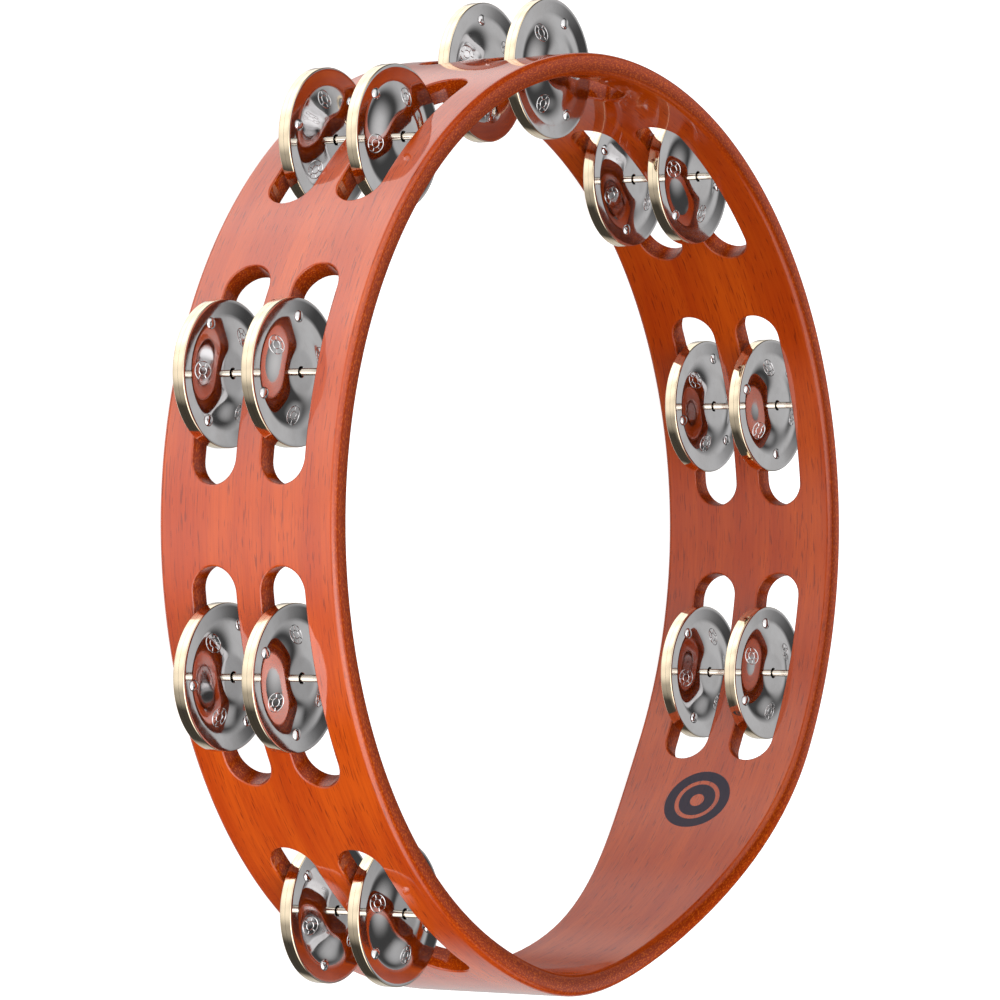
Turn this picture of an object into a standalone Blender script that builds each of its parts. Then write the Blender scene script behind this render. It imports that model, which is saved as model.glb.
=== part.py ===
"""A headless tambourine with two rows of jingles, modelled as it comes apart on a bench.

One bent wooden hoop carries eight steel pins. Each pin crosses two slots, and two jingles ride on
it in each slot. The hoop lies flat on its lower rim: its axis is +Z, and the origin is where that
axis meets the surface that it lies on. All lengths are in metres.
"""

import math

import bmesh
import bpy
from mathutils import Vector

MM = 0.001

# Hoop
HOOP_OUTER_RADIUS = 127.0 * MM
HOOP_WALL = 6.0 * MM
HOOP_DEPTH = 55.0 * MM
RIM_ROUNDING = 1.5 * MM
ROUNDING_STEPS = 2
HOOP_SEGMENTS = 96

# Grip: the stretch with no jingles, where both rims curve in for the hand
GRIP_ANGLE = math.radians(-45.0)
GRIP_HALF_ANGLE = math.radians(42.0)
GRIP_SCOOP = 9.0 * MM

# Slots, with half-round ends, at eight positions round the rest of the hoop
POSITIONS = 8
POSITION_PITCH = math.radians(36.4)
SLOT_LENGTH = 58.4 * MM
SLOT_WIDTH = 13.5 * MM
SLOT_END_STEPS = 6
ROW_OFFSET = 10.7 * MM

# Pins, driven in from a rim and ending short of both rim faces
PIN_RADIUS = 0.95 * MM
PIN_LENGTH = 47.0 * MM
PIN_SIDES = 8

# Jingles: pressed discs with a turned edge, a shallow channel inside it and a raised middle
JINGLE_RADIUS = 19.1 * MM
JINGLE_SHEET = 0.5 * MM
EDGE_HEIGHT = 1.6 * MM
CHANNEL_DROP = 0.4 * MM
CHANNEL_RADIUS = 0.76 * JINGLE_RADIUS
DOME_RISE = 2.0 * MM
DOME_TOP_RADIUS = 0.32 * JINGLE_RADIUS
JINGLE_HOLE_RADIUS = 1.7 * MM
JINGLE_SEGMENTS = 16

GAP = 0.3 * MM
CUTTER_MARGIN = 5.0 * MM
SMOOTH_BELOW = math.radians(35.0)

HOOP_INNER_RADIUS = HOOP_OUTER_RADIUS - HOOP_WALL
PIN_CIRCLE_RADIUS = HOOP_OUTER_RADIUS - HOOP_WALL / 2
MID_HEIGHT = HOOP_DEPTH / 2
ROW_HEIGHTS = {"upper": MID_HEIGHT + ROW_OFFSET, "lower": MID_HEIGHT - ROW_OFFSET}

# How far below the middle of its slot a pair of jingles lies, resting on the slot's lower edge
JINGLE_HEIGHT = EDGE_HEIGHT - CHANNEL_DROP + DOME_RISE
PAIR_DROP = SLOT_WIDTH / 2 - GAP - JINGLE_HEIGHT - GAP / 2


def clear_scene():
    for old in list(bpy.data.objects):
        bpy.data.objects.remove(old, do_unlink=True)


def finish(name, colour, roughness, metallic):
    """A plain finish for one material."""
    material = bpy.data.materials.new(name)
    material.use_nodes = True
    shader = material.node_tree.nodes["Principled BSDF"]
    shader.inputs["Base Color"].default_value = (*colour, 1.0)
    shader.inputs["Roughness"].default_value = roughness
    shader.inputs["Metallic"].default_value = metallic
    return material


def stained_wood():
    return finish("stained_wood", colour=(0.42, 0.10, 0.03), roughness=0.25, metallic=0.0)


def pin_steel():
    return finish("pin_steel", colour=(0.62, 0.60, 0.57), roughness=0.25, metallic=1.0)


def nickel_plate():
    return finish("nickel_plate", colour=(0.72, 0.70, 0.67), roughness=0.12, metallic=1.0)


def mesh_from(bm, name):
    """Turn a bmesh into a mesh whose faces point out and whose round faces are shaded smooth."""
    bmesh.ops.recalc_face_normals(bm, faces=bm.faces)
    mesh = bpy.data.meshes.new(name)
    bm.to_mesh(mesh)
    bm.free()
    mesh.shade_smooth()
    mesh.set_sharp_from_angle(angle=SMOOTH_BELOW)
    return mesh


def new_object(name, mesh):
    made = bpy.data.objects.new(name, mesh)
    bpy.context.scene.collection.objects.link(made)
    return made


def round_axis(radius, angle, height):
    """A point given by its distance from the Z axis, its angle from +X and its height."""
    return Vector((radius * math.cos(angle), radius * math.sin(angle), height))


def position_angle(position):
    """Angle of jingle position 1 to 8, counted from one end of the grip round to the other."""
    middle = (POSITIONS + 1) / 2
    return GRIP_ANGLE + math.pi + (position - middle) * POSITION_PITCH


def turned(sections):
    """A bmesh ring made by joining closed sections, one for each even step round the Z axis.

    Each section is a list of (radius, height) points, and all have the same number of points.
    """
    bm = bmesh.new()
    rings = []
    for step, section in enumerate(sections):
        angle = step * math.tau / len(sections)
        rings.append([bm.verts.new(round_axis(radius, angle, height)) for radius, height in section])
    for step, ring in enumerate(rings):
        following = rings[(step + 1) % len(rings)]
        for corner in range(len(ring)):
            after = (corner + 1) % len(ring)
            bm.faces.new((ring[corner], ring[after], following[after], following[corner]))
    return bm


def scoop(angle):
    """How far each rim is drawn in at an angle: nothing, except over the grip."""
    away = math.remainder(angle - GRIP_ANGLE, math.tau)
    if abs(away) >= GRIP_HALF_ANGLE:
        return 0.0
    return GRIP_SCOOP * (1 + math.cos(math.pi * away / GRIP_HALF_ANGLE)) / 2


def hoop_section(angle):
    """The wall's section at an angle, with rounded corners, as (radius, height) points."""
    outer = HOOP_OUTER_RADIUS - RIM_ROUNDING
    inner = HOOP_INNER_RADIUS + RIM_ROUNDING
    top = HOOP_DEPTH - scoop(angle) - RIM_ROUNDING
    bottom = scoop(angle) + RIM_ROUNDING
    corners = ((outer, top), (inner, top), (inner, bottom), (outer, bottom))
    points = []
    for quarter, (radius, height) in enumerate(corners):
        for step in range(ROUNDING_STEPS + 1):
            turn = (quarter + step / ROUNDING_STEPS) * math.pi / 2
            across = RIM_ROUNDING * math.cos(turn)
            up = RIM_ROUNDING * math.sin(turn)
            points.append((radius + across, height + up))
    return points


def hoop_blank():
    """The bent hoop before it is slotted and bored."""
    angles = [step * math.tau / HOOP_SEGMENTS for step in range(HOOP_SEGMENTS)]
    return mesh_from(turned([hoop_section(angle) for angle in angles]), "hoop")


def slot_outline():
    """Outline of one slot about its own middle, as (angle, height) points."""
    end_radius = SLOT_WIDTH / 2
    straight = SLOT_LENGTH / 2 - end_radius
    points = []
    for side in (1, -1):
        for step in range(SLOT_END_STEPS + 1):
            turn = math.pi * (step / SLOT_END_STEPS - 0.5)
            along = side * (straight + end_radius * math.cos(turn))
            up = side * end_radius * math.sin(turn)
            points.append((along / PIN_CIRCLE_RADIUS, up))
    return points


def add_slot_plug(bm, angle, height):
    """Add a plug of the slot's outline that passes radially through the wall."""
    radii = (HOOP_INNER_RADIUS - CUTTER_MARGIN, HOOP_OUTER_RADIUS + CUTTER_MARGIN)
    inner, outer = (
        [bm.verts.new(round_axis(radius, angle + turn, height + up)) for turn, up in slot_outline()]
        for radius in radii
    )
    caps = [bm.faces.new(inner), bm.faces.new(outer)]
    for corner in range(len(inner)):
        after = (corner + 1) % len(inner)
        bm.faces.new((inner[corner], inner[after], outer[after], outer[corner]))
    bmesh.ops.triangulate(bm, faces=caps)


def add_rod(bm, centre, radius, length):
    """Add an upright rod."""
    made = bmesh.ops.create_cone(
        bm, cap_ends=True, segments=PIN_SIDES, radius1=radius, radius2=radius, depth=length
    )
    bmesh.ops.translate(bm, verts=made["verts"], vec=centre)


def new_cutter(name, bm):
    cutter = new_object(name, mesh_from(bm, name))
    cutter.hide_render = True
    cutter.display_type = "WIRE"
    return cutter


def slot_cutter():
    bm = bmesh.new()
    for position in range(1, POSITIONS + 1):
        for height in ROW_HEIGHTS.values():
            add_slot_plug(bm, position_angle(position), height)
    return new_cutter("cut_slots", bm)


def pin_bore_cutter():
    bm = bmesh.new()
    for position in range(1, POSITIONS + 1):
        centre = round_axis(PIN_CIRCLE_RADIUS, position_angle(position), MID_HEIGHT)
        add_rod(bm, centre, PIN_RADIUS + GAP, PIN_LENGTH + 2 * GAP)
    return new_cutter("cut_pin_bores", bm)


def make_hoop():
    """The hoop, slotted for the jingles and bored inside its wall for the pins."""
    hoop = new_object("hoop", hoop_blank())
    hoop.data.materials.append(stained_wood())
    for cutter in (slot_cutter(), pin_bore_cutter()):
        cut = hoop.modifiers.new(cutter.name, "BOOLEAN")
        cut.operation = "DIFFERENCE"
        cut.object = cutter


def pin_mesh():
    bm = bmesh.new()
    add_rod(bm, Vector(), PIN_RADIUS, PIN_LENGTH)
    return mesh_from(bm, "pin")


def make_pins():
    """One pin at each position, long enough for both of its slots."""
    mesh = pin_mesh()
    mesh.materials.append(pin_steel())
    for position in range(1, POSITIONS + 1):
        pin = new_object(f"pin_{position}", mesh)
        pin.location = round_axis(PIN_CIRCLE_RADIUS, position_angle(position), MID_HEIGHT)


def jingle_section():
    """Half section of a jingle, as (radius, height) points, from the plane between two mates."""
    low = GAP / 2
    edge = low + EDGE_HEIGHT
    channel = edge - CHANNEL_DROP
    dome = channel + DOME_RISE
    lining = JINGLE_RADIUS - JINGLE_SHEET
    return (
        (JINGLE_HOLE_RADIUS, dome),
        (JINGLE_HOLE_RADIUS, dome - JINGLE_SHEET),
        (DOME_TOP_RADIUS, dome - JINGLE_SHEET),
        (CHANNEL_RADIUS, channel - JINGLE_SHEET),
        (lining, edge - JINGLE_SHEET),
        (lining, low),
        (JINGLE_RADIUS, low),
        (JINGLE_RADIUS, edge),
        (CHANNEL_RADIUS, channel),
        (DOME_TOP_RADIUS, dome),
    )


def jingle_mesh():
    """A jingle with its domed face up and its hollow side down."""
    return mesh_from(turned([jingle_section()] * JINGLE_SEGMENTS), "jingle")


def make_jingles():
    """Two jingles in each slot, hollow sides together, each centred on its pin."""
    mesh = jingle_mesh()
    mesh.materials.append(nickel_plate())
    for position in range(1, POSITIONS + 1):
        for row, height in ROW_HEIGHTS.items():
            centre = round_axis(PIN_CIRCLE_RADIUS, position_angle(position), height - PAIR_DROP)
            for side, flip in (("top", 0.0), ("bottom", math.pi)):
                jingle = new_object(f"jingle_{position}_{row}_{side}", mesh)
                jingle.location = centre
                jingle.rotation_euler.x = flip


def main():
    clear_scene()
    make_hoop()
    make_pins()
    make_jingles()


main()
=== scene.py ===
"""The looks of a headless tambourine: a lacquered wooden hoop, bright pins and domed nickel jingles.

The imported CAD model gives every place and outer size. Each piece here stands for one CAD node and rides
on that node's body. All lengths are in metres and all angles in radians.
"""

import math

import bmesh
import bpy
from mathutils import Matrix, Vector


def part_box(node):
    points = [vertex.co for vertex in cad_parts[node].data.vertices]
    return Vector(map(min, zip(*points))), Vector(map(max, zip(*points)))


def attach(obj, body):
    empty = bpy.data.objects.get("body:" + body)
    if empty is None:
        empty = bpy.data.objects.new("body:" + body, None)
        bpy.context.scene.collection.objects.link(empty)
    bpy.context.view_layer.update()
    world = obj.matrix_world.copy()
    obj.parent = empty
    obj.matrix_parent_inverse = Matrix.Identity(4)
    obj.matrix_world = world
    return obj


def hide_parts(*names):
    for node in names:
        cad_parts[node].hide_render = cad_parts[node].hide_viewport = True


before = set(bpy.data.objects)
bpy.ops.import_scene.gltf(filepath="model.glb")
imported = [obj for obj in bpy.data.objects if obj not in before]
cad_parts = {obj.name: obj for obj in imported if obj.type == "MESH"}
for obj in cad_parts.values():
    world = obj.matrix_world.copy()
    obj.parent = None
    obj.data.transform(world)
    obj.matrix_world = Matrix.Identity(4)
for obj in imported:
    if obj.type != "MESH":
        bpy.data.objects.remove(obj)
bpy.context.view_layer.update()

MM = 0.001
POSITIONS = range(1, 9)
ROWS = ("upper", "lower")
SIDES = ("top", "bottom")

# Hoop: its outer radius, depth and pin circle are the frame's, and the rest repeats the CAD source
HOOP_LOW, HOOP_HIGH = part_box("hoop")
HOOP_RADIUS = HOOP_HIGH.x
HOOP_DEPTH = HOOP_HIGH.z - HOOP_LOW.z
RIM_ROUNDING = 1.5 * MM
GRIP_ANGLE = math.radians(-45.0)
GRIP_HALF_ANGLE = math.radians(42.0)
GRIP_SCOOP = 9.0 * MM
POSITION_PITCH = math.radians(36.4)
SLOT_LENGTH = 58.4 * MM
SLOT_WIDTH = 13.5 * MM
SLOT_ROUNDING = 0.5 * MM
ROW_OFFSET = 10.7 * MM

# How finely the hoop is meshed
STRAIGHT_STEPS = 22
CORNER_STEPS = 7
SIDE_STEPS = 12
SURFACE_STEPS = 6
SLOT_ROUNDING_STEPS = 3
RIM_ROUNDING_STEPS = 6
GRIP_COLUMNS = 34
WELD_DISTANCE = 0.002 * MM

# Jingle: its radius, and the height of its middle over the plane between two mates, are the frame's
EDGE_HEIGHT = 1.6 * MM
SEAM = 0.06 * MM
JINGLE_SHEET = 0.5 * MM
CHANNEL_DROP = 0.55 * MM
CHANNEL_SHARE = 0.77
DOME_TOP_SHARE = 0.27
FOLD_RADIUS = 0.3 * MM
HOLE_RADIUS = 1.4 * MM
HOLE_ROUNDING = 0.15 * MM

# How finely a jingle is meshed
JINGLE_SEGMENTS = 128
HUB_STEPS = 4
DOME_STEPS = 20
FLANGE_STEPS = 6
FOLD_STEPS = 5
HOLLOW_STEPS = 10
BUMP_STEPS = 6
BUMP_SIDES = 28
STAMP_SIDES = 36

# What is pressed into each jingle
BUMP_CIRCLE = 0.75
BUMP_RADIUS = 1.6 * MM
BUMP_HEIGHT = 0.85 * MM
BUMP_FOOT = 0.2
STAMP_CIRCLE = 0.58
STAMP_RADIUS = 2.4 * MM
STAMP_INNER = 0.45
STAMP_LINE = 0.13 * MM
STAMP_RISE = 0.12 * MM
STAMP_SPOKES = 6
PRESSINGS = 3

# Pins
PIN_SIDES = 32
PIN_CHAMFER = 0.2 * MM

# Metal edges that turn more than this are shaded crisp
CRISP_FROM = math.radians(35.0)

# Printed mark on the inner face of the hoop
MARK_ANGLE = math.radians(-12.8)
MARK_RADIUS = 10.3 * MM
MARK_RING = 6.4 * MM
MARK_DOT = 2.2 * MM
MARK_LINE = 1.3 * MM
MARK_EDGE = 0.12 * MM
MARK_DEPTH = 0.5 * MM
MARK_GLOSS = 0.15
MARK_INK = (0.024, 0.036, 0.052)
MARK_COVER = 0.94

# The lap where the two ends of the hoop's strip meet
LAP_ANGLE = math.radians(-56.0)

# Stain where the wood is smooth, and where it was sawn or routed
STAIN_DEEP = (0.52, 0.059, 0.0018)
STAIN_PALE = (0.66, 0.096, 0.0040)
STAIN_CLOUD = (0.44, 0.036, 0.0015)
STAIN_FIBRE = (0.30, 0.022, 0.0010)
STAIN_PORE = (0.13, 0.010, 0.0015)
SAWN_DEEP = (0.24, 0.022, 0.0010)
SAWN_PALE = (0.52, 0.090, 0.0050)

# How strongly each kind of streak, and the sawn colour, covers the stain under it
CLOUD_COVER = 0.35
FIBRE_COVER = 0.30
PORE_COVER = 0.52
SAWN_COVER = 0.85

# Length along the hoop, height and depth of one streak of each kind in the wood
FIGURE_SIZE = (70 * MM, 7 * MM, 9 * MM)
CLOUD_SIZE = (45 * MM, 25 * MM, 25 * MM)
FIBRE_SIZE = (16 * MM, 0.55 * MM, 2 * MM)
PORE_SIZE = (5.5 * MM, 0.42 * MM, 0.8 * MM)
FLECK_SIZE = (0.9 * MM, 0.35 * MM, 0.35 * MM)
RIPPLE_SIZE = (14 * MM, 5 * MM, 9 * MM)

# How bright the stain is inside the hoop, where it is darkened as painted shade, and how glossy the
# lacquer is inside and where the wood was sawn and routed, as shares of the outside. The wall changes
# from one to the other this far inside each face.
INSIDE_PAINTED_SHADE = 0.64
INSIDE_GLOSS = 0.45
CUT_GLOSS = 0.5
INSIDE_DEPTH = 1 * MM

# Roughness of the wood and of the lacquer on it, and how deep the grain and the ripples are in each
WOOD_ROUGHNESS = (0.38, 0.52)
GRAIN_RELIEF = 0.05 * MM
LACQUER_ROUGHNESS = 0.05
LACQUER_IOR = 1.8
LACQUER_RELIEF = 0.03 * MM

# Nickel on the flat and where it is tarnished, a warm painted reflection on the turned edge, and the
# hollow side darkened as painted shade
NICKEL = (0.74, 0.73, 0.735)
NICKEL_TARNISHED = (0.68, 0.665, 0.665)
NICKEL_EDGE_REFLECTION = (0.84, 0.70, 0.50)
NICKEL_HOLLOW_SHADE = (0.46, 0.43, 0.39)

# Size of a patch of each kind on the nickel, how rough it is, and how deep its waves are
TARNISH_SIZE = 6 * MM
SMEAR_SIZE = 3 * MM
WAVE_SIZE = 9 * MM
NICKEL_ROUGHNESS = (0.06, 0.12)
HOLLOW_ROUGHNESS = 0.3
NICKEL_RELIEF = 0.03 * MM

# Wire, between and along its drawing lines, how rough it is and how deep the lines are
WIRE = (0.92, 0.85, 0.72)
WIRE_LINES = (0.80, 0.73, 0.62)
WIRE_ROUGHNESS = (0.12, 0.24)
WIRE_RELIEF = 0.01 * MM

# Camera
VIEW_TURN = math.radians(28.0)
CAMERA_OFFSET = (-1.2359, 0.00295, 0.8092)
CAMERA_RIGHT = (0.55094, -0.00399, 0.83454)
CAMERA_UP = (0.0, 0.99999, 0.00478)
CAMERA_LENS = 195.4
SENSOR_WIDTH = 36.0

# The studio is painted on the sky. Its directions are degrees round the hoop, from the picture's
# right, and degrees above the hoop's plane. Every wall of the hoop mirrors somewhere on a ring of
# directions below that plane, and the flat of every jingle mirrors one direction above it.
ROOM_LIGHT = 0.06
RING_RISE = -33.0
RING_FULL = 2.0
RING_EDGE = 30.0
RING_BOXES = (
    (28.0, 0.4), (56.0, 1.0), (84.0, 0.8), (112.0, 1.4),
    (140.0, 0.8), (168.0, 0.8), (196.0, 0.4), (330.0, 0.6),
)
# Boxes as (round, above, where full light ends, where all light ends, radiance)
FACE_BOXES = (
    (8.0, 20.0, 8.0, 27.0, 0.52),
    (-38.0, 28.0, 6.0, 20.0, 0.45),
    (0.0, -80.0, 20.0, 42.0, 1.0),
)
FILL_BOXES = (
    (150.0, 50.0, 30.0, 75.0, 1.2),
    (226.0, 25.0, 20.0, 55.0, 1.9),
)

FLOOR_SIZE = 20.0
FLOOR_GAP = 0.3 * MM
FLOOR_COLOUR = (0.6, 0.6, 0.6)
FLOOR_GLOW = 0.85
WHITE = (1.0, 1.0, 1.0)
GOLDEN_ANGLE = math.pi * (3 - math.sqrt(5))


def round_axis(radius, angle, height):
    """A point given by its distance from the Z axis, its angle from +X and its height."""
    return Vector((radius * math.cos(angle), radius * math.sin(angle), height))


def box_centre(node):
    low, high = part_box(node)
    return (low + high) / 2


def position_angle(position):
    centre = box_centre(f"pin_{position}")
    return math.atan2(centre.y, centre.x)


PIN_CIRCLE_RADIUS = box_centre("pin_1").xy.length
HOOP_WALL = 2 * (HOOP_RADIUS - PIN_CIRCLE_RADIUS)
MID_HEIGHT = (HOOP_LOW.z + HOOP_HIGH.z) / 2
CELL_HALF = POSITION_PITCH / 2 * PIN_CIRCLE_RADIUS
SLOT_END_RADIUS = SLOT_WIDTH / 2
SLOT_STRAIGHT = SLOT_LENGTH / 2 - SLOT_END_RADIUS

JINGLE_LOW, JINGLE_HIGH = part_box("jingle_1_upper_top")
JINGLE_RADIUS = (JINGLE_HIGH.x - JINGLE_LOW.x) / 2
JINGLE_HEIGHT = JINGLE_HIGH.z - JINGLE_LOW.z
HALF_GAP = (JINGLE_LOW.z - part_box("jingle_1_upper_bottom")[1].z) / 2


# ---------------------------------------------------------------- meshes


def bridge(bm, first, second, closed=False):
    """Join two matching rows of vertices with quads."""
    count = len(first) if closed else len(first) - 1
    for step in range(count):
        after = (step + 1) % len(first)
        corners = (first[step], first[after], second[after], second[step])
        bm.faces.new(corners)


def new_mesh(name, bm, material):
    """A smooth-shaded mesh, which uses up the bmesh."""
    bmesh.ops.recalc_face_normals(bm, faces=bm.faces)
    mesh = bpy.data.meshes.new(name)
    bm.to_mesh(mesh)
    bm.free()
    mesh.shade_smooth()
    mesh.materials.append(material)
    return mesh


def new_object(name, data):
    made = bpy.data.objects.new(name, data)
    bpy.context.scene.collection.objects.link(made)
    return made


def scoop(angle):
    """How far each rim is drawn in at an angle: nothing, except over the grip."""
    away = math.remainder(angle - GRIP_ANGLE, math.tau)
    if abs(away) >= GRIP_HALF_ANGLE:
        return 0.0
    return GRIP_SCOOP * (1 + math.cos(math.pi * away / GRIP_HALF_ANGLE)) / 2


def wall_point(angle, height, inset):
    """A point in the hoop's wall, at a depth below its outer face."""
    return round_axis(HOOP_RADIUS - inset, angle, height)


def face_height(angle, share):
    """Height on the wall's flat face: -1 is the lower edge, 0 the middle and 1 the upper edge."""
    reach = HOOP_DEPTH / 2 - RIM_ROUNDING - scoop(angle)
    return MID_HEIGHT + share * reach


def half_cell():
    """Half the points round a slot and its cell, as (middle, turn, border along, border up).

    A slot point lies at a turn round a middle on the slot's centre line. The matching point on the
    cell's border is given by its distance along the hoop and by its side, from -1 to 1.
    """
    points = []
    for step in range(STRAIGHT_STEPS):
        along = SLOT_STRAIGHT * (1 - 2 * step / STRAIGHT_STEPS)
        points.append((along, math.pi / 2, along, 1.0))
    end_steps = 2 * CORNER_STEPS + SIDE_STEPS
    for step in range(end_steps):
        turn = math.pi * (0.5 + step / end_steps)
        out = min(step, end_steps - step, CORNER_STEPS) / CORNER_STEPS
        along = -SLOT_STRAIGHT - (CELL_HALF - SLOT_STRAIGHT) * out
        side = min(max(step - CORNER_STEPS, 0), SIDE_STEPS) / SIDE_STEPS
        points.append((-SLOT_STRAIGHT, turn, along, 1 - 2 * side))
    return points


def cell_points():
    half = half_cell()
    return half + [(-middle, turn + math.pi, -along, -up) for middle, turn, along, up in half]


def cell_path():
    """Rings from the cell's outer border, in through the slot, to its inner border.

    Each is (share of the way out to the border, offset from the slot's outline, depth in the wall,
    how much the saw and router have cut there).
    """
    path = [(1 - step / SURFACE_STEPS, SLOT_ROUNDING, 0.0, 0.0) for step in range(SURFACE_STEPS)]
    for step in range(SLOT_ROUNDING_STEPS + 1):
        turn = math.pi / 2 * step / SLOT_ROUNDING_STEPS
        offset = SLOT_ROUNDING * (1 - math.sin(turn))
        inset = SLOT_ROUNDING * (1 - math.cos(turn))
        path.append((0.0, offset, inset, step / SLOT_ROUNDING_STEPS))
    inner = [(share, offset, HOOP_WALL - inset, cut) for share, offset, inset, cut in path]
    return path + inner[::-1]


def add_cell(bm, cut_layer, position, row):
    """One slot with the stretch of wall round it."""
    middle_angle = position_angle(position)
    sign = 1 if row == "upper" else -1
    row_height = MID_HEIGHT + sign * ROW_OFFSET
    rings = []
    for share, offset, inset, cut in cell_path():
        ring = []
        for middle, turn, border_along, border_up in cell_points():
            reach = SLOT_END_RADIUS + offset
            along = middle + reach * math.cos(turn)
            height = row_height + reach * math.sin(turn)
            border_angle = middle_angle + border_along / PIN_CIRCLE_RADIUS
            border_height = face_height(border_angle, (sign + border_up) / 2)
            along += share * (border_along - along)
            height += share * (border_height - height)
            vertex = bm.verts.new(wall_point(middle_angle + along / PIN_CIRCLE_RADIUS, height, inset))
            vertex[cut_layer] = cut
            ring.append(vertex)
        rings.append(ring)
    for outer, inner in zip(rings, rings[1:]):
        bridge(bm, outer, inner, closed=True)


def cell_columns():
    """Distances along the hoop of the columns on a cell's border, from its middle."""
    return sorted(along for _, _, along, up in cell_points() if up == 1.0)


def grip_columns():
    """Angles from the last cell round the grip to the first one, both ends included."""
    start = position_angle(POSITIONS[-1]) + POSITION_PITCH / 2
    end = position_angle(POSITIONS[0]) - POSITION_PITCH / 2
    sweep = (end - start) % math.tau
    return [start + sweep * step / GRIP_COLUMNS for step in range(GRIP_COLUMNS + 1)]


def add_grip(bm):
    """The two faces of the wall over the grip, where there are no slots."""
    shares = [step / SIDE_STEPS for step in range(-SIDE_STEPS, SIDE_STEPS + 1)]
    for inset in (0.0, HOOP_WALL):
        columns = [
            [bm.verts.new(wall_point(angle, face_height(angle, share), inset)) for share in shares]
            for angle in grip_columns()
        ]
        for column, following in zip(columns, columns[1:]):
            bridge(bm, column, following)


def rim_section():
    """The rim from the wall's outer face to its inner one, as (depth in the wall, rise, cut)."""
    section = []
    for step in range(RIM_ROUNDING_STEPS + 1):
        turn = math.pi / 2 * step / RIM_ROUNDING_STEPS
        inset = RIM_ROUNDING * (1 - math.cos(turn))
        rise = RIM_ROUNDING * math.sin(turn)
        section.append((inset, rise, step / RIM_ROUNDING_STEPS))
    inner = [(HOOP_WALL - inset, rise, cut) for inset, rise, cut in section]
    return section + [(HOOP_WALL / 2, RIM_ROUNDING, 1.0)] + inner[::-1]


def rim_angles():
    angles = []
    for position in POSITIONS:
        middle = position_angle(position)
        angles += [middle + along / PIN_CIRCLE_RADIUS for along in cell_columns()[:-1]]
    return angles + grip_columns()[:-1]


def add_rim(bm, cut_layer, side):
    """The rounded rim on one side: 1 is the upper one and -1 the lower one."""
    rings = []
    for angle in rim_angles():
        edge = face_height(angle, side)
        ring = []
        for inset, rise, cut in rim_section():
            vertex = bm.verts.new(wall_point(angle, edge + side * rise, inset))
            vertex[cut_layer] = cut
            ring.append(vertex)
        rings.append(ring)
    for ring, following in zip(rings, rings[1:] + rings[:1]):
        bridge(bm, ring, following)


def hoop_mesh():
    """The whole hoop as one closed surface, with softened edges and sixteen slots."""
    bm = bmesh.new()
    cut_layer = bm.verts.layers.float.new("cut")
    for position in POSITIONS:
        for row in ROWS:
            add_cell(bm, cut_layer, position, row)
    add_grip(bm)
    for side in (1, -1):
        add_rim(bm, cut_layer, side)
    bmesh.ops.remove_doubles(bm, verts=bm.verts, dist=WELD_DISTANCE)
    return bm


def smoothstep(share):
    share = min(max(share, 0.0), 1.0)
    return share * share * (3 - 2 * share)


def jingle_face(radius):
    """Height of a jingle's outer face above the plane between two mates."""
    edge = HALF_GAP + EDGE_HEIGHT
    low = edge - CHANNEL_DROP
    channel = CHANNEL_SHARE * JINGLE_RADIUS
    dome_top = DOME_TOP_SHARE * JINGLE_RADIUS
    if radius > channel:
        return low + CHANNEL_DROP * (radius - channel) / (JINGLE_RADIUS - FOLD_RADIUS - channel)
    rise = HALF_GAP + JINGLE_HEIGHT - low
    return low + rise * smoothstep((channel - radius) / (channel - dome_top))


def quarter(steps):
    return [math.pi / 2 * step / steps for step in range(steps + 1)]


def spread(start, end, steps):
    """Even steps from start to end, without the end."""
    return [start + (end - start) * step / steps for step in range(steps)]


def jingle_section():
    """Half section of a jingle from its hole over the face and back, as (radius, height, lining).

    The last is 1 on the hollow side and 0 on the faces that show.
    """
    channel = CHANNEL_SHARE * JINGLE_RADIUS
    dome_top = DOME_TOP_SHARE * JINGLE_RADIUS
    shoulder = JINGLE_RADIUS - FOLD_RADIUS
    inside = JINGLE_RADIUS - JINGLE_SHEET
    points = [(HOLE_RADIUS, jingle_face(HOLE_RADIUS) - HOLE_ROUNDING)]
    face_radii = spread(HOLE_RADIUS + HOLE_ROUNDING, dome_top, HUB_STEPS)
    face_radii += spread(dome_top, channel, DOME_STEPS) + spread(channel, shoulder, FLANGE_STEPS)
    points += [(radius, jingle_face(radius)) for radius in face_radii]
    fold_height = jingle_face(shoulder) - FOLD_RADIUS
    for turn in quarter(FOLD_STEPS):
        radius = shoulder + FOLD_RADIUS * math.sin(turn)
        points.append((radius, fold_height + FOLD_RADIUS * math.cos(turn)))
    points.append((JINGLE_RADIUS, SEAM / 2))
    hollow = [(inside, SEAM / 2), (inside, jingle_face(shoulder) - JINGLE_SHEET)]
    for radius in spread(channel, dome_top, HOLLOW_STEPS) + [dome_top, HOLE_RADIUS]:
        hollow.append((radius, jingle_face(radius) - JINGLE_SHEET))
    return [(*point, 0.0) for point in points] + [(*point, 1.0) for point in hollow]


def add_disc(bm, lining_layer):
    """The pressed disc itself, turned from its section."""
    rings = []
    for radius, height, lining in jingle_section():
        angles = spread(0.0, math.tau, JINGLE_SEGMENTS)
        ring = [bm.verts.new(round_axis(radius, angle, height)) for angle in angles]
        for vertex in ring:
            vertex[lining_layer] = lining
        rings.append(ring)
    for ring, following in zip(rings, rings[1:] + rings[:1]):
        bridge(bm, ring, following, closed=True)


def on_face(x, y, rise):
    """A point above or below a jingle's outer face."""
    return Vector((x, y, jingle_face(math.hypot(x, y)) + rise))


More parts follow.
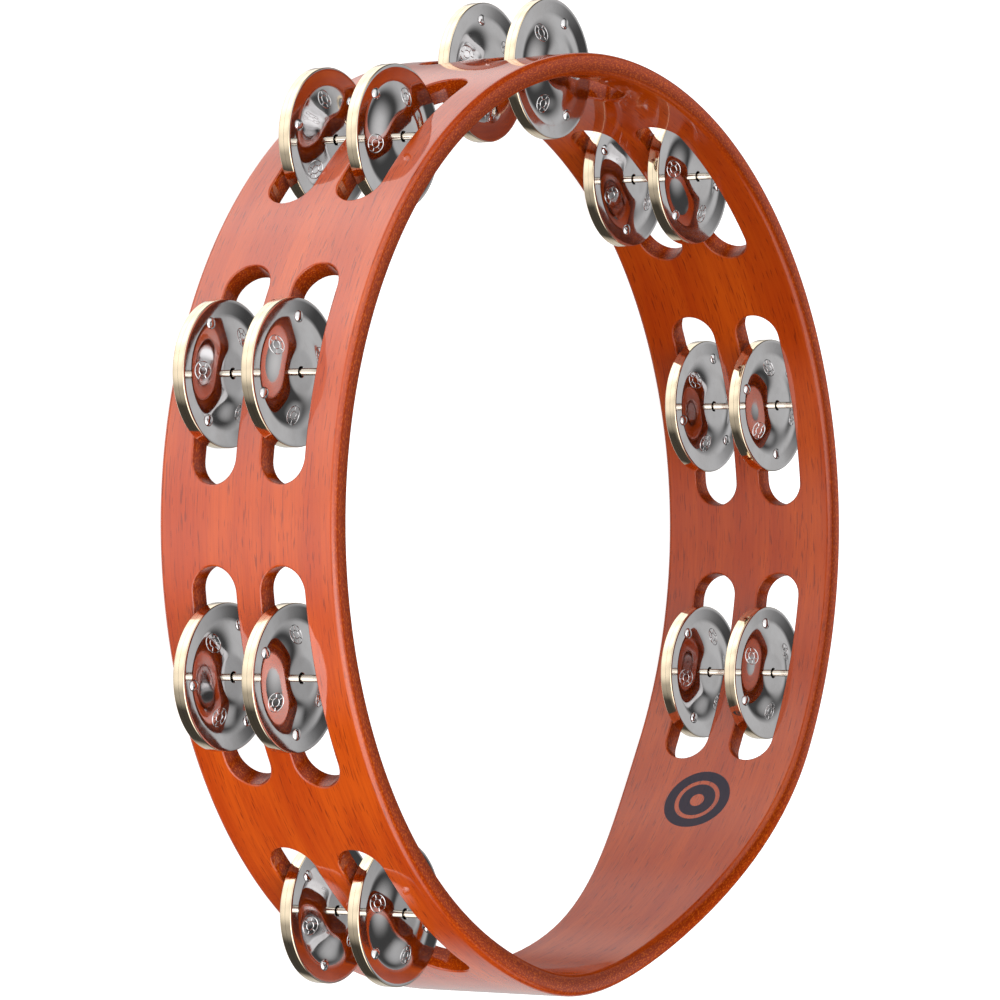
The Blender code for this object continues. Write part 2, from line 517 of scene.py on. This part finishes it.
def add_bump(bm, angle):
    """A small round bump, as a dome whose foot is just inside the sheet."""
    middle = round_axis(BUMP_CIRCLE * JINGLE_RADIUS, angle, 0.0)
    foot = BUMP_HEIGHT * BUMP_FOOT
    rings = []
    for turn in quarter(BUMP_STEPS)[:-1]:
        reach = BUMP_RADIUS * math.cos(turn)
        rise = (BUMP_HEIGHT + foot) * math.sin(turn) - foot
        ring = []
        for around in spread(0.0, math.tau, BUMP_SIDES):
            x = middle.x + reach * math.cos(around)
            y = middle.y + reach * math.sin(around)
            ring.append(bm.verts.new(on_face(x, y, rise)))
        rings.append(ring)
    for ring, following in zip(rings, rings[1:]):
        bridge(bm, ring, following, closed=True)
    bm.faces.new(rings[-1])
    bm.faces.new(rings[0])


def add_ridge(bm, centre_line, closed):
    """A fine raised line that follows points on a jingle's face."""
    section = [(-1.0, -1.0), (-0.8, 0.5), (0.0, 1.0), (0.8, 0.5), (1.0, -1.0)]
    rings = []
    count = len(centre_line)
    for step, point in enumerate(centre_line):
        before = centre_line[step - 1] if closed or step else point
        after = centre_line[(step + 1) % count] if closed or step + 1 < count else point
        heading = (after - before).normalized()
        across = Vector((-heading.y, heading.x, 0.0))
        ring = []
        for side, rise in section:
            place = point + across * side * STAMP_LINE
            ring.append(bm.verts.new(on_face(place.x, place.y, rise * STAMP_RISE)))
        rings.append(ring)
    for ring, following in zip(rings, rings[1:] + (rings[:1] if closed else [])):
        bridge(bm, ring, following, closed=True)
    if not closed:
        bm.faces.new(rings[0])
        bm.faces.new(rings[-1])


def add_stamp(bm, angle):
    """A plain stamp: two rings joined by short spokes."""
    middle = round_axis(STAMP_CIRCLE * JINGLE_RADIUS, angle, 0.0)
    inner = STAMP_RADIUS * STAMP_INNER
    angles = spread(0.0, math.tau, STAMP_SIDES)
    for radius in (STAMP_RADIUS, inner):
        circle = [middle + round_axis(radius, around, 0.0) for around in angles]
        add_ridge(bm, circle, closed=True)
    gap = 2 * STAMP_LINE
    for around in spread(0.0, math.tau, STAMP_SPOKES):
        radii = spread(inner + gap, STAMP_RADIUS - gap, 2) + [STAMP_RADIUS - gap]
        spoke = [middle + round_axis(radius, angle + around, 0.0) for radius in radii]
        add_ridge(bm, spoke, closed=False)


def jingle_mesh():
    """A jingle, face up. Its own coordinates are kept as an attribute for its material."""
    bm = bmesh.new()
    add_disc(bm, bm.verts.layers.float.new("lining"))
    for press in range(PRESSINGS):
        angle = math.tau * press / PRESSINGS
        add_bump(bm, angle)
        add_stamp(bm, angle + math.pi / PRESSINGS)
    place = bm.verts.layers.float_vector.new("place")
    for vertex in bm.verts:
        vertex[place] = vertex.co
    return bm


def pin_mesh(length, radius):
    """A straight pin with chamfered ends."""
    bm = bmesh.new()
    half = length / 2
    section = [(radius - PIN_CHAMFER, -half), (radius, PIN_CHAMFER - half)]
    section += [(radius, half - PIN_CHAMFER), (radius - PIN_CHAMFER, half)]
    rings = []
    for reach, height in section:
        angles = spread(0.0, math.tau, PIN_SIDES)
        rings.append([bm.verts.new(round_axis(reach, angle, height)) for angle in angles])
    for ring, following in zip(rings, rings[1:]):
        bridge(bm, ring, following, closed=True)
    bm.faces.new(rings[0])
    bm.faces.new(rings[-1])
    place = bm.verts.layers.float_vector.new("place")
    for vertex in bm.verts:
        vertex[place] = vertex.co
    return bm


# ---------------------------------------------------------------- materials


class Finish:
    """A material being made: its node tree, with short ways to add to it."""

    def __init__(self, name, **settings):
        self.material = bpy.data.materials.new(name)
        self.material.use_nodes = True
        self.tree = self.material.node_tree
        self.shader = self.tree.nodes["Principled BSDF"]
        for socket, value in settings.items():
            self.set(socket.replace("_", " "), value)

    def set(self, socket, value):
        self.feed(self.shader.inputs[socket], value)

    def feed(self, socket, value):
        if isinstance(value, bpy.types.NodeSocket):
            self.tree.links.new(value, socket)
        elif hasattr(value, "__len__") and len(value) == 3 and socket.type == "RGBA":
            socket.default_value = (*value, 1.0)
        else:
            socket.default_value = value

    def add(self, kind, inputs=None, **settings):
        node = self.tree.nodes.new("ShaderNode" + kind)
        for setting, value in settings.items():
            setattr(node, setting, value)
        for socket, value in (inputs or {}).items():
            self.feed(node.inputs[socket], value)
        return node

    def math(self, operation, first, second=0.0):
        return self.add("Math", {0: first, 1: second}, operation=operation).outputs[0]

    def vector(self, x, y, z):
        return self.add("CombineXYZ", {0: x, 1: y, 2: z}).outputs[0]

    def noise(self, vector, scale=1.0, detail=2.0, roughness=0.5):
        inputs = {"Vector": vector, "Scale": scale, "Detail": detail, "Roughness": roughness}
        return self.add("TexNoise", inputs).outputs["Fac"]

    def ramp(self, value, low, high, first=0.0, second=1.0):
        """Map low..high to first..second, smoothly and clamped."""
        inputs = {"Value": value, 1: low, 2: high, 3: first, 4: second}
        return self.add("MapRange", inputs, interpolation_type="SMOOTHSTEP").outputs[0]

    def mix(self, share, first, second):
        inputs = {0: share, 6: first, 7: second}
        return self.add("Mix", inputs, data_type="RGBA").outputs[2]

    def scaled(self, colour, share):
        return self.add("VectorMath", {0: colour, 3: share}, operation="SCALE").outputs[0]

    def bump(self, height, distance):
        return self.add("Bump", {"Height": height, "Distance": distance}).outputs["Normal"]


def unrolled(finish):
    """The hoop's strip laid flat: (distance along it from the lap, height, distance from the axis)."""
    place = finish.add("TexCoord").outputs["Object"]
    lap_turn = math.pi - LAP_ANGLE
    turned = finish.add("VectorRotate", {"Vector": place, "Angle": lap_turn}, rotation_type="Z_AXIS")
    parts = finish.add("SeparateXYZ", {0: turned.outputs[0]}).outputs
    angle = finish.math("ARCTAN2", parts[1], parts[0])
    along = finish.math("MULTIPLY", angle, PIN_CIRCLE_RADIUS)
    flat = finish.vector(parts[0], parts[1], 0.0)
    radius = finish.add("VectorMath", {0: flat}, operation="LENGTH").outputs["Value"]
    return along, parts[2], radius


def streaks(finish, strip, size, detail=2.0):
    """Noise on the flat strip, in blotches of a length, height and depth."""
    scaled = [finish.math("DIVIDE", distance, reach) for distance, reach in zip(strip, size)]
    return finish.noise(finish.vector(*scaled), detail=detail)


def lapped(angle):
    """Distance along the strip from the lap, for a point at an angle round the hoop."""
    return math.remainder(angle + math.pi - LAP_ANGLE, math.tau) * PIN_CIRCLE_RADIUS


def printed_mark(finish, strip):
    """1 where the plain round mark is printed: a disc with an open ring and an open dot."""
    along, height, radius = strip
    across = finish.math("SUBTRACT", along, lapped(MARK_ANGLE))
    up = finish.math("SUBTRACT", height, MID_HEIGHT)
    offset = finish.vector(across, up, 0.0)
    reach = finish.add("VectorMath", {0: offset}, operation="LENGTH").outputs["Value"]
    disc = finish.ramp(reach, MARK_RADIUS - MARK_EDGE, MARK_RADIUS + MARK_EDGE, 1.0, 0.0)
    from_ring = finish.math("ABSOLUTE", finish.math("SUBTRACT", reach, MARK_RING))
    ring = finish.ramp(from_ring, MARK_LINE / 2 - MARK_EDGE, MARK_LINE / 2 + MARK_EDGE)
    dot = finish.ramp(reach, MARK_DOT - MARK_EDGE, MARK_DOT + MARK_EDGE)
    inside = finish.math("LESS_THAN", radius, HOOP_RADIUS - HOOP_WALL + MARK_DEPTH)
    mark = finish.math("MULTIPLY", disc, ring)
    mark = finish.math("MULTIPLY", mark, dot)
    return finish.math("MULTIPLY", mark, inside)


def smooth_wood(finish, strip, fibre, pore):
    """The stain's colour on the wood's smooth faces."""
    figure = streaks(finish, strip, FIGURE_SIZE, detail=4.0)
    clouds = streaks(finish, strip, CLOUD_SIZE)
    stain = finish.mix(finish.ramp(figure, 0.3, 0.7), STAIN_DEEP, STAIN_PALE)
    stain = finish.mix(finish.ramp(clouds, 0.3, 0.7, 0.0, CLOUD_COVER), stain, STAIN_CLOUD)
    stain = finish.mix(finish.ramp(fibre, 0.35, 0.75, 0.0, FIBRE_COVER), stain, STAIN_FIBRE)
    return finish.mix(finish.math("MULTIPLY", pore, PORE_COVER), stain, STAIN_PORE)


def sawn_wood(finish, strip):
    """The stain's colour where end grain took it up in flecks."""
    flecks = streaks(finish, strip, FLECK_SIZE, detail=1.0)
    return finish.mix(finish.ramp(flecks, 0.45, 0.72), SAWN_DEEP, SAWN_PALE)


def lacquered_wood():
    """Red-brown stain on fine, straight grain, under a gloss lacquer."""
    finish = Finish("lacquered_wood", Specular_IOR_Level=0.0)
    finish.set("Coat Roughness", LACQUER_ROUGHNESS)
    finish.set("Coat IOR", LACQUER_IOR)
    strip = unrolled(finish)
    radius = strip[2]
    fibre = streaks(finish, strip, FIBRE_SIZE, detail=3.0)
    pore = finish.ramp(streaks(finish, strip, PORE_SIZE, detail=1.0), 0.62, 0.70)
    cut = finish.add("Attribute", attribute_name="cut").outputs["Fac"]
    outside = finish.ramp(radius, HOOP_RADIUS - HOOP_WALL + INSIDE_DEPTH, HOOP_RADIUS - INSIDE_DEPTH)
    mark = printed_mark(finish, strip)

    stain = smooth_wood(finish, strip, fibre, pore)
    stain = finish.mix(finish.math("MULTIPLY", cut, SAWN_COVER), stain, sawn_wood(finish, strip))
    # Painted shade: the stain is darkened inside the hoop.
    stain = finish.scaled(stain, finish.ramp(outside, 0.0, 1.0, INSIDE_PAINTED_SHADE, 1.0))
    finish.set("Base Color", finish.mix(finish.math("MULTIPLY", mark, MARK_COVER), stain, MARK_INK))
    finish.set("Roughness", finish.ramp(fibre, 0.3, 0.7, *WOOD_ROUGHNESS))

    gloss = finish.ramp(outside, 0.0, 1.0, INSIDE_GLOSS, 1.0)
    gloss = finish.math("MULTIPLY", gloss, finish.ramp(cut, 0.0, 1.0, 1.0, CUT_GLOSS))
    gloss = finish.math("MULTIPLY", gloss, finish.ramp(mark, 0.0, 1.0, 1.0, MARK_GLOSS))
    finish.set("Coat Weight", gloss)
    grain = finish.math("ADD", finish.math("MULTIPLY", fibre, 0.5), finish.math("MULTIPLY", pore, -0.5))
    finish.set("Normal", finish.bump(grain, GRAIN_RELIEF))
    ripples = streaks(finish, strip, RIPPLE_SIZE, detail=1.0)
    finish.set("Coat Normal", finish.bump(ripples, LACQUER_RELIEF))
    return finish.material


def place_of(finish):
    """A piece's own coordinates, kept on its mesh, and its distance from its own axis."""
    place = finish.add("Attribute", attribute_name="place").outputs["Vector"]
    parts = finish.add("SeparateXYZ", {0: place}).outputs
    flat = finish.vector(parts[0], parts[1], 0.0)
    radius = finish.add("VectorMath", {0: flat}, operation="LENGTH").outputs["Value"]
    return place, parts, radius


def bright_nickel():
    """Mirror-bright nickel on pressed sheet: a warm painted reflection on the turned edge, rougher and
    painted shade on the hollow side.
    """
    finish = Finish("bright_nickel", Metallic=1.0)
    place, _, radius = place_of(finish)
    edge = finish.ramp(radius, JINGLE_RADIUS - FOLD_RADIUS, JINGLE_RADIUS - FOLD_RADIUS / 3)
    tarnish = finish.noise(place, scale=1 / TARNISH_SIZE, detail=3.0)
    colour = finish.mix(finish.ramp(tarnish, 0.35, 0.7), NICKEL, NICKEL_TARNISHED)
    # Painted reflection: the turned edge is tinted warm.
    colour = finish.mix(edge, colour, NICKEL_EDGE_REFLECTION)
    lining = finish.add("Attribute", attribute_name="lining").outputs["Fac"]
    # Painted shade: the hollow side, which faces its mate, is darker.
    finish.set("Base Color", finish.mix(lining, colour, NICKEL_HOLLOW_SHADE))
    smears = finish.noise(place, scale=1 / SMEAR_SIZE, detail=4.0, roughness=0.6)
    polish = finish.ramp(smears, 0.35, 0.75, *NICKEL_ROUGHNESS)
    hollow = finish.math("MULTIPLY", lining, HOLLOW_ROUGHNESS)
    finish.set("Roughness", finish.math("ADD", polish, hollow))
    waves = finish.noise(place, scale=1 / WAVE_SIZE, detail=1.0)
    finish.set("Normal", finish.bump(waves, NICKEL_RELIEF))
    return finish.material


def drawn_wire():
    """Bright wire with faint drawing lines along it."""
    finish = Finish("drawn_wire", Metallic=1.0)
    _, parts, _ = place_of(finish)
    around = finish.math("MULTIPLY", finish.math("ARCTAN2", parts[1], parts[0]), 4.0)
    lines = finish.noise(finish.vector(around, 0.0, finish.math("MULTIPLY", parts[2], 40.0)))
    finish.set("Base Color", finish.mix(lines, WIRE, WIRE_LINES))
    finish.set("Roughness", finish.ramp(lines, 0.3, 0.7, *WIRE_ROUGHNESS))
    finish.set("Normal", finish.bump(lines, WIRE_RELIEF))
    return finish.material


# ---------------------------------------------------------------- pieces


def make_hoop():
    hoop = new_object("wooden_hoop", new_mesh("hoop", hoop_mesh(), lacquered_wood()))
    evened = hoop.modifiers.new("even_normals", "WEIGHTED_NORMAL")
    evened.keep_sharp = True
    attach(hoop, "hoop")
    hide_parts("hoop")


def make_pins():
    low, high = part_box("pin_1")
    mesh = new_mesh("pin", pin_mesh(high.z - low.z, (high.x - low.x) / 2), drawn_wire())
    mesh.set_sharp_from_angle(angle=CRISP_FROM)
    for position in POSITIONS:
        node = f"pin_{position}"
        pin = new_object(f"round_{node}", mesh)
        pin.location = box_centre(node)
        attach(pin, "hoop")
        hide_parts(node)


def make_jingles():
    """Every jingle is the same pressing, and each is turned to an angle of its own."""
    pattern = new_mesh("jingle", jingle_mesh(), bright_nickel())
    pattern.set_sharp_from_angle(angle=CRISP_FROM)
    nodes = [
        f"jingle_{position}_{row}_{side}"
        for position in POSITIONS for row in ROWS for side in SIDES
    ]
    for count, node in enumerate(nodes):
        low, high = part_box(node)
        flipped = node.endswith("bottom")
        mate_plane = high.z + HALF_GAP if flipped else low.z - HALF_GAP
        flip = Matrix.Rotation(math.pi if flipped else 0.0, 4, "X")
        mesh = pattern.copy()
        mesh.transform(Matrix.Rotation(count * GOLDEN_ANGLE, 4, "Z") @ flip)
        jingle = new_object(f"pressed_{node}", mesh)
        jingle.location = ((low.x + high.x) / 2, (low.y + high.y) / 2, mate_plane)
        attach(jingle, node)
        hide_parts(node)


# ---------------------------------------------------------------- studio


def view_direction(along, up, out):
    """A direction given along the picture's own axes of the hoop, in the frame."""
    across = Vector((math.cos(VIEW_TURN), math.sin(VIEW_TURN), 0.0))
    raised = Vector((-math.sin(VIEW_TURN), math.cos(VIEW_TURN), 0.0))
    return across * along + raised * up + Vector((0.0, 0.0, out))


def make_camera():
    data = bpy.data.cameras.new("camera")
    data.sensor_width = SENSOR_WIDTH
    data.lens = CAMERA_LENS
    camera = new_object("camera", data)
    right = view_direction(*CAMERA_RIGHT).normalized()
    up = view_direction(*CAMERA_UP)
    up = (up - right * up.dot(right)).normalized()
    turn = Matrix((right, up, right.cross(up))).transposed()
    centre = Vector((0.0, 0.0, MID_HEIGHT))
    camera.matrix_world = Matrix.Translation(centre + view_direction(*CAMERA_OFFSET)) @ turn.to_4x4()
    bpy.context.scene.camera = camera


def make_floor():
    """A plain white light table."""
    finish = Finish("light_table", Base_Color=FLOOR_COLOUR, Roughness=0.9)
    finish.set("Emission Color", WHITE)
    finish.set("Emission Strength", FLOOR_GLOW)
    bm = bmesh.new()
    bmesh.ops.create_grid(bm, x_segments=1, y_segments=1, size=FLOOR_SIZE)
    floor = new_object("floor", new_mesh("floor", bm, finish.material))
    floor.location.z = -FLOOR_GAP
    floor.visible_glossy = False
    floor.visible_diffuse = False
    floor.visible_shadow = False


def soft_box(tree, direction, box):
    """How brightly the sky glows in a direction from one soft box."""
    around, rise, inner, outer, radiance = box
    turn, tilt = math.radians(around), math.radians(rise)
    towards = view_direction(*round_axis(math.cos(tilt), turn, math.sin(tilt)))
    facing = tree.nodes.new("ShaderNodeVectorMath")
    facing.operation = "DOT_PRODUCT"
    tree.links.new(direction, facing.inputs[0])
    facing.inputs[1].default_value = towards
    glow = tree.nodes.new("ShaderNodeMapRange")
    glow.interpolation_type = "SMOOTHSTEP"
    tree.links.new(facing.outputs["Value"], glow.inputs["Value"])
    limits = (math.cos(math.radians(outer)), math.cos(math.radians(inner)), 0.0, radiance)
    for socket, limit in enumerate(limits, start=1):
        glow.inputs[socket].default_value = limit
    return glow.outputs[0]


def make_world():
    """A white room to the camera, and a dim one with soft boxes to everything that the room lights."""
    world = bpy.data.worlds.new("studio")
    world.use_nodes = True
    bpy.context.scene.world = world
    tree = world.node_tree
    direction = tree.nodes.new("ShaderNodeTexCoord").outputs["Generated"]
    total = tree.nodes.new("ShaderNodeValue").outputs[0]
    total.default_value = ROOM_LIGHT
    ring = [(around, RING_RISE, RING_FULL, RING_EDGE, radiance) for around, radiance in RING_BOXES]
    for box in (*ring, *FACE_BOXES, *FILL_BOXES):
        added = tree.nodes.new("ShaderNodeMath")
        tree.links.new(total, added.inputs[0])
        tree.links.new(soft_box(tree, direction, box), added.inputs[1])
        total = added.outputs[0]
    seen = tree.nodes.new("ShaderNodeLightPath").outputs["Is Camera Ray"]
    shown = tree.nodes.new("ShaderNodeMix")
    tree.links.new(seen, shown.inputs[0])
    tree.links.new(total, shown.inputs[2])
    shown.inputs[3].default_value = 1.0
    background = tree.nodes["Background"]
    background.inputs["Color"].default_value = (*WHITE, 1.0)
    tree.links.new(shown.outputs[0], background.inputs["Strength"])


def make_studio():
    make_camera()
    make_floor()
    make_world()
    bpy.context.scene.view_settings.view_transform = "Standard"


make_hoop()
make_pins()
make_jingles()
make_studio()
